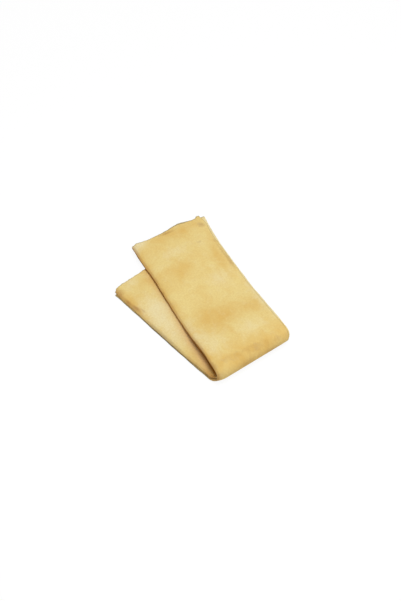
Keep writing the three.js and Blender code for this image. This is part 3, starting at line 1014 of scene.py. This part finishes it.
white_card = bpy.data.materials.new("white_card_matt")
white_card.use_nodes = True
tree = white_card.node_tree
tree.nodes.clear()
pale = add_node(tree, "ShaderNodeBsdfDiffuse", None, {"Color": linear(FLOOR_PALE)})
lit = add_node(tree, "ShaderNodeBsdfDiffuse", None, {"Color": linear(FLOOR_LIT)})
glow = add_node(tree, "ShaderNodeEmission", None, {"Color": linear(WHITE), "Strength": FLOOR_GLOW})
shown_inputs = {0: SHADOW_SHARE, 1: glow.outputs[0], 2: lit.outputs[0]}
shown = add_node(tree, "ShaderNodeMixShader", None, shown_inputs)
card_inputs = {0: view_ray(tree), 1: pale.outputs[0], 2: shown.outputs[0]}
card = add_node(tree, "ShaderNodeMixShader", None, card_inputs)
add_node(tree, "ShaderNodeOutputMaterial", None, {"Surface": card.outputs[0]})
floor_mesh.materials.append(white_card)
print("material", white_card.name, "with", len(tree.nodes), "nodes")

# %% [markdown]
# One large lamp hangs nearly overhead, a little towards the fold and to the right of the leaves, so
# that the left sides of the leaves and the mouth of the fold fall into shade. A weaker one in front
# lights the round of the fold, and a plain white sky fills the rest. A sun would be simpler, but its
# shadows are hard, and the real leather was lit softly.

# %% The lamps
KEY_PLACE = (0.14, 0.11, 1.19)
KEY_SIZE = 0.5
KEY_POWER = 7.5
FRONT_PLACE = (1.1, 0.3, 0.6)
FRONT_SIZE = 0.8
FRONT_POWER = 1.8


def facing(back, place):
    """Turn and place of a lamp or camera, whose axes are a level right, an up and the way back."""
    right = unit(np.cross([0, 0, 1], back))
    matrix = np.eye(4)
    matrix[:3, :3] = np.stack([right, np.cross(back, right), back], axis=1)
    matrix[:3, 3] = place
    return Matrix(matrix.tolist())


def add_lamp(name, place, size, power):
    """Round lamp that faces the origin: its way back is its place divided by its distance."""
    lamp = bpy.data.lights.new(name, "AREA")
    lamp.shape = "DISK"
    lamp.size = size
    lamp.energy = power
    lamp_object = bpy.data.objects.new(name, lamp)
    lamp_object.matrix_world = facing(unit(np.array(place)), place)
    bpy.context.collection.objects.link(lamp_object)


add_lamp("key", KEY_PLACE, KEY_SIZE, KEY_POWER)
add_lamp("front", FRONT_PLACE, FRONT_SIZE, FRONT_POWER)
print("key lamp", KEY_POWER, "watts, front lamp", FRONT_POWER, "watts")

# %% The sky
SKY_LEVEL = 0.5
SKY_SEEN = 1.0

sky = bpy.data.worlds.new("white_sky")
bpy.context.scene.world = sky
sky.use_nodes = True
tree = sky.node_tree
tree.nodes.clear()
fill = add_node(tree, "ShaderNodeBackground", None, {"Color": linear(WHITE), "Strength": SKY_LEVEL})
plain = add_node(tree, "ShaderNodeBackground", None, {"Color": linear(WHITE), "Strength": SKY_SEEN})
sky_inputs = {0: view_ray(tree), 1: fill.outputs[0], 2: plain.outputs[0]}
sky_mix = add_node(tree, "ShaderNodeMixShader", None, sky_inputs)
add_node(tree, "ShaderNodeOutputWorld", None, {"Surface": sky_mix.outputs[0]})
print("sky lights the leather at", SKY_LEVEL)

# %% [markdown]
# The camera looks down at the leather over the near corner of the fold. It could be placed by eye, but
# its angles, distance and lens were fitted to the corners of the leather in the photograph instead.

# %% The camera
AZIMUTH = np.radians(54.59)
ELEVATION = np.radians(52.59)
DISTANCE = 1.1919
LOOK_AT = np.array([0.000679, 0.002274, 0.0])
LENS = 59.9

level_back = np.array([np.sin(AZIMUTH), -np.cos(AZIMUTH), 0])
camera_back = np.cos(ELEVATION) * level_back + np.sin(ELEVATION) * np.array([0, 0, 1])
camera = bpy.data.cameras.new("camera")
camera.lens = LENS
camera_object = bpy.data.objects.new("camera", camera)
camera_object.matrix_world = facing(camera_back, LOOK_AT + DISTANCE * camera_back)
bpy.context.collection.objects.link(camera_object)
bpy.context.scene.camera = camera_object
bpy.context.scene.view_settings.view_transform = "Standard"
print("camera at", np.round(LOOK_AT + DISTANCE * camera_back, 3), "metres")
